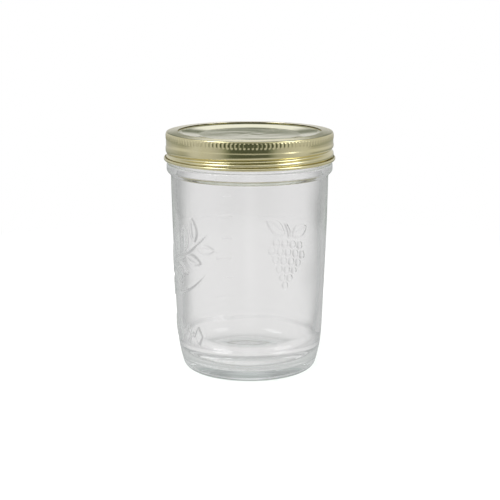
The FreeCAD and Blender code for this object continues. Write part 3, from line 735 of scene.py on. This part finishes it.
def studio_shade(n, ray):
    """Brightness of the studio in the metal along a ray.

    It is laid out round the direction the camera looks in, levelled by the sine of the camera's pitch, so it
    turns with the camera and suits a camera that looks down only a little.
    """
    seen = from_camera(n, ray)
    up = n.add("ShaderNodeSeparateXYZ", {0: ray}).outputs[2]
    tilt = n.maths("MULTIPLY", up, CAMERA_TILT)
    ahead = n.maths("ADD", seen[2], tilt)
    side = n.maths("ABSOLUTE", seen[0])

    low_front = [(0.50, 0.72), (0.5595, 0.70), (0.5630, 0.36), (0.5700, 0.34), (0.5780, 0.20), (0.600, 0.18)]
    high_front = [(0.620, 1.0), (0.70, 1.0), (0.76, 0.12), (0.92, 0.16)]
    front = n.ramp(half(n, up), *low_front, *high_front)
    flank = n.ramp(half(n, up), (0.38, 0.30), (0.50, 0.62), (0.60, 0.66), (0.75, 0.55), (0.90, 0.30))
    shadow = n.ramp(side, (0.075, 0.20), (0.20, 0.40), (0.36, 1.0))
    high = n.ramp(half(n, up), (0.560, 0.0), (0.590, 1.0))
    flank = n.maths("MULTIPLY", flank, n.between(high, 1.0, shadow))
    beside = n.ramp(side, (0.060, 0.0), (0.085, 1.0))
    forward = n.between(beside, front, flank)

    low = n.ramp(side, (0.0, 0.085), (0.42, 0.10), (0.62, 0.42), (0.80, 0.56), (1.0, 0.62))
    box = n.ramp(half(n, up), (0.60, 0.0), (0.71, 1.0), (0.86, 1.0), (0.91, 0.0))
    behind = n.between(box, low, 1.25)
    turn = n.ramp(half(n, ahead), (0.44, 0.0), (0.56, 1.0))
    return n.between(turn, behind, forward)


def through_shade(n, ray):
    """Brightness behind the glass: full straight ahead, lower for light that the glass bends aside."""
    seen = from_camera(n, ray)
    across = n.maths("MULTIPLY", seen[0], seen[0])
    height = n.maths("MULTIPLY", seen[1], seen[1])
    aside = n.maths("SQRT", n.maths("ADD", across, n.maths("MULTIPLY", height, 0.15)))
    return n.ramp(aside, (0.13, 1.0), (0.27, 0.66), (0.60, 0.60), (0.95, 0.85))


def studio_colour(n, shade):
    """The unlit parts of the studio are a dull green, the lit ones white."""
    return n.mix_colour(n.ramp(shade, (0.05, 0.0), (0.5, 1.0)), (0.86, 1.0, 0.72, 1), (1.0, 1.0, 1.0, 1))


def half(n, value):
    """A value from -1 to 1 as one from 0 to 1."""
    return n.maths("ADD", n.maths("MULTIPLY", value, 0.5), 0.5)


FLOOR_R, FLOOR_CORNERS, FLOOR_DROP = 3.5, 96, 0.00005


def build_floor():
    """A pale round floor that fades into the backdrop, with the studio's shade in the metal. Metres."""
    mesh = bpy.data.meshes.new("studio_floor")
    steps = np.radians(np.arange(FLOOR_CORNERS) * 360 / FLOOR_CORNERS)
    ring = np.stack([FLOOR_R * np.cos(steps), FLOOR_R * np.sin(steps), 0 * steps], 1)
    mesh.from_pydata(ring.tolist(), [], [list(range(len(ring)))])
    floor = bpy.data.objects.new("studio_floor", mesh)
    floor.location.z = -FLOOR_DROP
    bpy.context.scene.collection.objects.link(floor)
    material, n = new_material("pale_floor")
    where, reach = place_of(n)
    speckle = n.noise(where, 420.0, 3.0)
    pale = n.mix_colour(speckle, (0.86, 0.86, 0.855, 1), (0.89, 0.89, 0.885, 1))
    dull = n.add("ShaderNodeBsdfDiffuse", {"Color": pale, "Roughness": 0.6})
    geometry = n.add("ShaderNodeNewGeometry")
    incoming = geometry.outputs["Incoming"]
    ray = n.add("ShaderNodeVectorMath", {0: incoming, 3: -1.0}, operation="SCALE").outputs[0]
    through = n.add("ShaderNodeLightPath").outputs["Is Transmission Ray"]
    glow = n.between(through, 1.0, through_shade(n, ray))
    white = n.add("ShaderNodeEmission", {"Color": (1, 1, 1, 1), "Strength": glow})
    far = n.maths("SUBTRACT", n.maths("MULTIPLY", reach, 1 / 260.0), 0.55, clamp=True)
    far = n.maths("MAXIMUM", far, n.maths("MULTIPLY", through, 0.8))
    seen = n.add("ShaderNodeMixShader", {0: far, 1: dull.outputs[0], 2: white.outputs[0]})
    metres = n.maths("MULTIPLY", reach, 1 / 1000.0)
    near = n.ramp(metres, (0.08, 0.62), (0.34, 0.50), (0.48, 0.10), (0.55, 0.0))
    shade = n.maths("MAXIMUM", studio_shade(n, ray), near)
    mirrored = n.add("ShaderNodeEmission", {"Color": studio_colour(n, shade), "Strength": shade})
    shader = n.add("ShaderNodeMixShader", {0: mirror_ray(n), 1: seen.outputs[0], 2: mirrored.outputs[0]})
    clear = n.add("ShaderNodeBsdfTransparent")
    under = geometry.outputs["Backfacing"]
    below = n.add("ShaderNodeMixShader", {0: under, 1: shader.outputs[0], 2: clear.outputs[0]})
    n.output(below.outputs[0])
    mesh.materials.append(material)


def build_world():
    """White to the eye, shaded through glass, and a soft-boxed studio in the metal."""
    world = bpy.data.worlds.new("studio")
    bpy.context.scene.world = world
    world.use_nodes = True
    n = Nodes(world.node_tree)
    ray = n.add("ShaderNodeTexCoord").outputs["Generated"]
    mirrored = mirror_ray(n)
    shade = studio_shade(n, ray)
    through = n.add("ShaderNodeLightPath").outputs["Is Transmission Ray"]
    plain = n.between(through, 1.0, through_shade(n, ray))
    level = n.between(mirrored, plain, shade)
    colour = n.mix_colour(mirrored, (1, 1, 1, 1), studio_colour(n, shade))
    light = n.add("ShaderNodeBackground", {"Color": colour, "Strength": level})
    n.output(light.outputs[0], kind="ShaderNodeOutputWorld")


LIGHT_AIM = (0, 0, 0.07)


def add_light(name, location, size, power, mirrored=True):
    """A round soft light. One that isn't mirrored leaves no spot in the glass and metal."""
    data = bpy.data.lights.new(name, "AREA")
    data.shape = "DISK"
    data.size = size
    data.energy = power
    lamp = bpy.data.objects.new(name, data)
    lamp.location = location
    lamp.rotation_euler = (Vector(LIGHT_AIM) - Vector(location)).to_track_quat("-Z", "Y").to_euler()
    lamp.visible_glossy = mirrored
    bpy.context.scene.collection.objects.link(lamp)


CAMERA_REACH, CAMERA_HEIGHT, CAMERA_TURN, CAMERA_PITCH = 0.6889, 0.21154, -23.0, 12.235
FOCAL_RATIO, SENSOR_WIDTH, CAMERA_SHIFT = 1337 / 500, 36, 0.0008


def build_camera():
    data = bpy.data.cameras.new("camera")
    data.sensor_width = SENSOR_WIDTH
    data.lens = SENSOR_WIDTH * FOCAL_RATIO
    data.shift_x = CAMERA_SHIFT
    camera = bpy.data.objects.new("camera", data)
    turn, pitch = math.radians(CAMERA_TURN), math.radians(CAMERA_PITCH)
    camera.location = (CAMERA_REACH * math.cos(turn), CAMERA_REACH * math.sin(turn), CAMERA_HEIGHT)
    ahead = Vector((-math.cos(turn) * math.cos(pitch), -math.sin(turn) * math.cos(pitch), -math.sin(pitch)))
    camera.rotation_euler = ahead.to_track_quat("-Z", "Y").to_euler()
    bpy.context.scene.collection.objects.link(camera)
    bpy.context.scene.camera = camera


# ---------------------------------------------------------------- put together

jar = build_jar()
jar.data.materials.append(glass_material())

band = build_band()
band.data.materials.append(
    gold_material("band_gold", (0.79, 0.73, 0.44, 1), (0.83, 0.78, 0.53, 1), 1.0, BAND_OPENING_R, 0.12)
)

lid = build_lid()
lid.data.materials.append(
    gold_material("lid_gold", (0.77, 0.75, 0.50, 1), (0.81, 0.79, 0.57, 1), 0.5, NO_CUT_EDGE, 0.07)
)
lid.data.materials.append(enamel_material())
for face in lid.data.polygons:
    if face.normal.z < -0.05 and face.center.to_2d().length < ENAMEL_R * MM:
        face.material_index = 1

seal = build_seal()
seal.data.materials.append(compound_material())

build_floor()
build_world()
add_light("key", (0.15, -0.75, 0.85), 0.55, 3.2)
add_light("fill", (0.75, 0.55, 0.60), 0.60, 2.2)
add_light("back", (-0.75, 0.15, 0.75), 0.60, 2.2, mirrored=False)
build_camera()
bpy.context.scene.view_settings.view_transform = "Standard"
